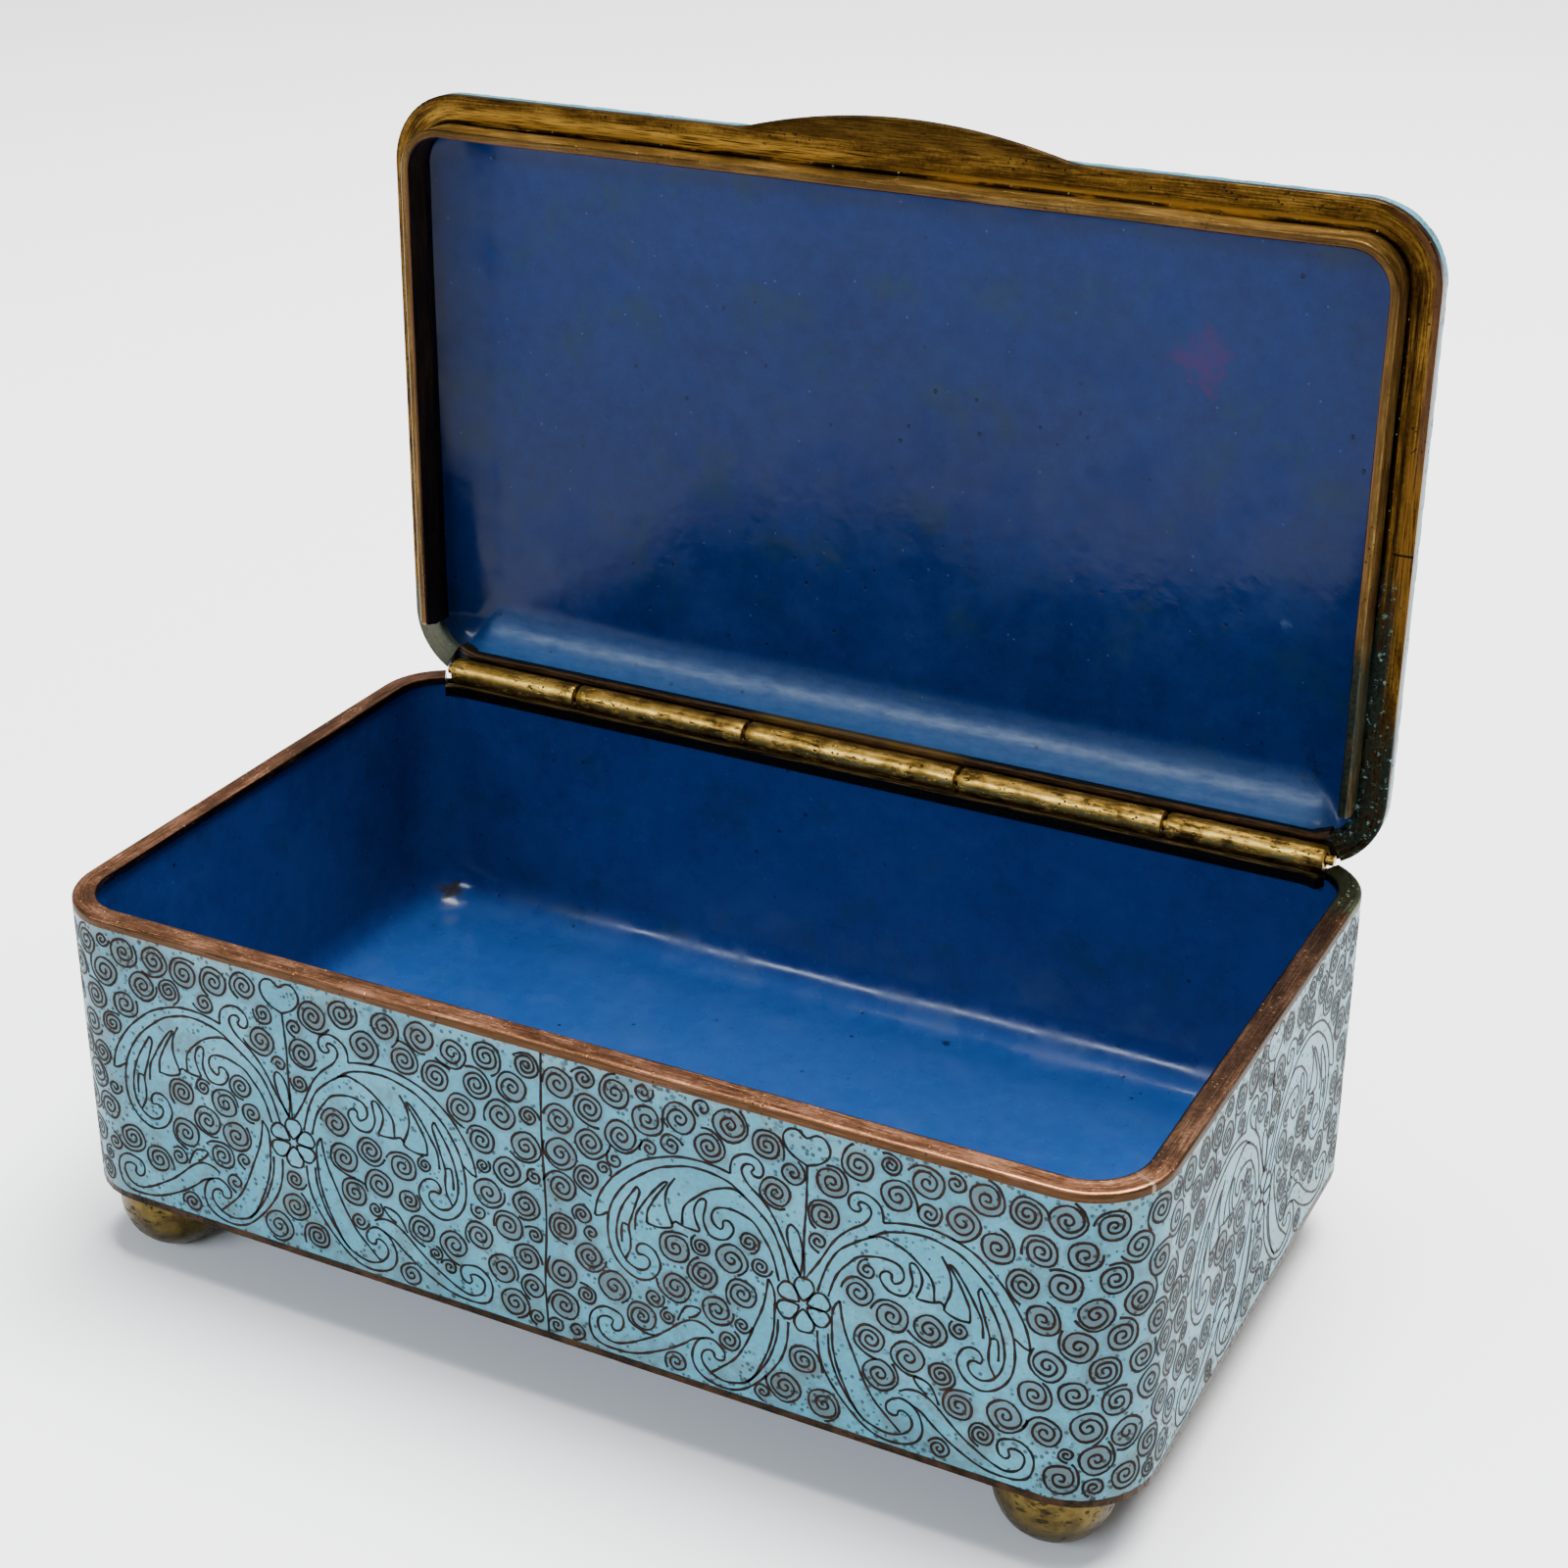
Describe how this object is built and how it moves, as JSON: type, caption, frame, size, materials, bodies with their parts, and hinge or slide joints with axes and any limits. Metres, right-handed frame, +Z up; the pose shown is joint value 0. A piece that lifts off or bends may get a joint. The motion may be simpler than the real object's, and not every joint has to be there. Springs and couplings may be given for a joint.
{
  "type": "cloisonne enamel box",
  "caption": "Oblong hinged box with rounded corners, turquoise scroll cloisonne outside, plain blue enamel inside, metal rims and flange, a low domed lid with a thumb tab, on ball feet.",
  "frame": {"origin": "middle of the flat floor inside the box, 11.55 mm above the surface that the feet stand on", "axes": "+X along the box's length to the viewer's right, -Y the front where the lid opens, +Z up"},
  "size_m": [0.127, 0.0827, 0.1209],
  "materials": {
    "enamelled_copper": "glossy, hand polished, pitted",
    "aged_copper": "satin, tarnished",
    "aged_brass": "satin, tarnished"
  },
  "bodies": {
    "box": {"base_plate": "aged_copper", "body_shell": "enamelled_copper", "body_rim": "aged_copper", "foot_front_left": "aged_brass", "foot_front_right": "aged_brass", "foot_back_left": "aged_brass", "foot_back_right": "aged_brass", "hinge_knuckle_1": "aged_brass", "hinge_knuckle_3": "aged_brass", "hinge_knuckle_5": "aged_brass", "hinge_pin": "aged_brass"},
    "lid": {"lid_shell": "enamelled_copper", "lid_rim": "aged_brass", "lid_flange": "aged_brass", "hinge_knuckle_2": "aged_brass", "hinge_knuckle_4": "aged_brass"}
  },
  "joints": [
    {"name": "lid_hinge", "type": "hinge", "parent": "box", "child": "lid", "pos_m": [0, 0.03631, 0.0327], "axis": [1, 0, 0], "range_deg": [0, 91]}
  ]
}
